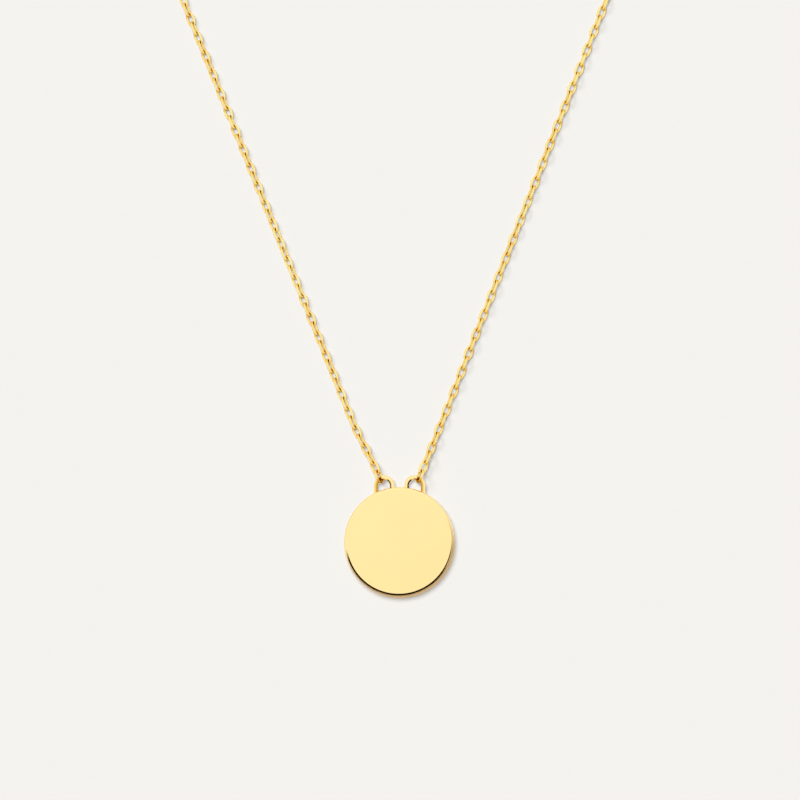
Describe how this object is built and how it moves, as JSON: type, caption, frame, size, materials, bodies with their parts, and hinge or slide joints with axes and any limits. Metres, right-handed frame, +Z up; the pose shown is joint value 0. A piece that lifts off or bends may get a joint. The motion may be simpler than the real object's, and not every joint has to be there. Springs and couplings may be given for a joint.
{
  "type": "disc pendant",
  "caption": "Round flat pendant with polished rounded edge and soldered wire loops, on a closed fine cable chain with a spring ring clasp, laid flat.",
  "frame": {"origin": "middle of the disc's flat back, on the surface that the necklace lies on", "axes": "+Z up out of the surface, the way the polished face looks; +Y from the disc along the necklace to the clasp; +X to the right, seen from above"},
  "size_m": [0.1053, 0.2006, 0.0028],
  "materials": {
    "polished_gold": "mirror-polished yellow gold",
    "chain_gold": "bright drawn yellow gold wire, soldered links",
    "clasp_gold": "bright polished yellow gold"
  },
  "bodies": {
    "root": {"disc": "polished_gold", "disc_link_left": "chain_gold", "disc_link_right": "chain_gold", "chain_left": "chain_gold", "chain_right": "chain_gold", "clasp": "clasp_gold", "end_ring": "clasp_gold", "clasp_link_left": "chain_gold", "clasp_link_right": "chain_gold"}
  },
  "joints": []
}
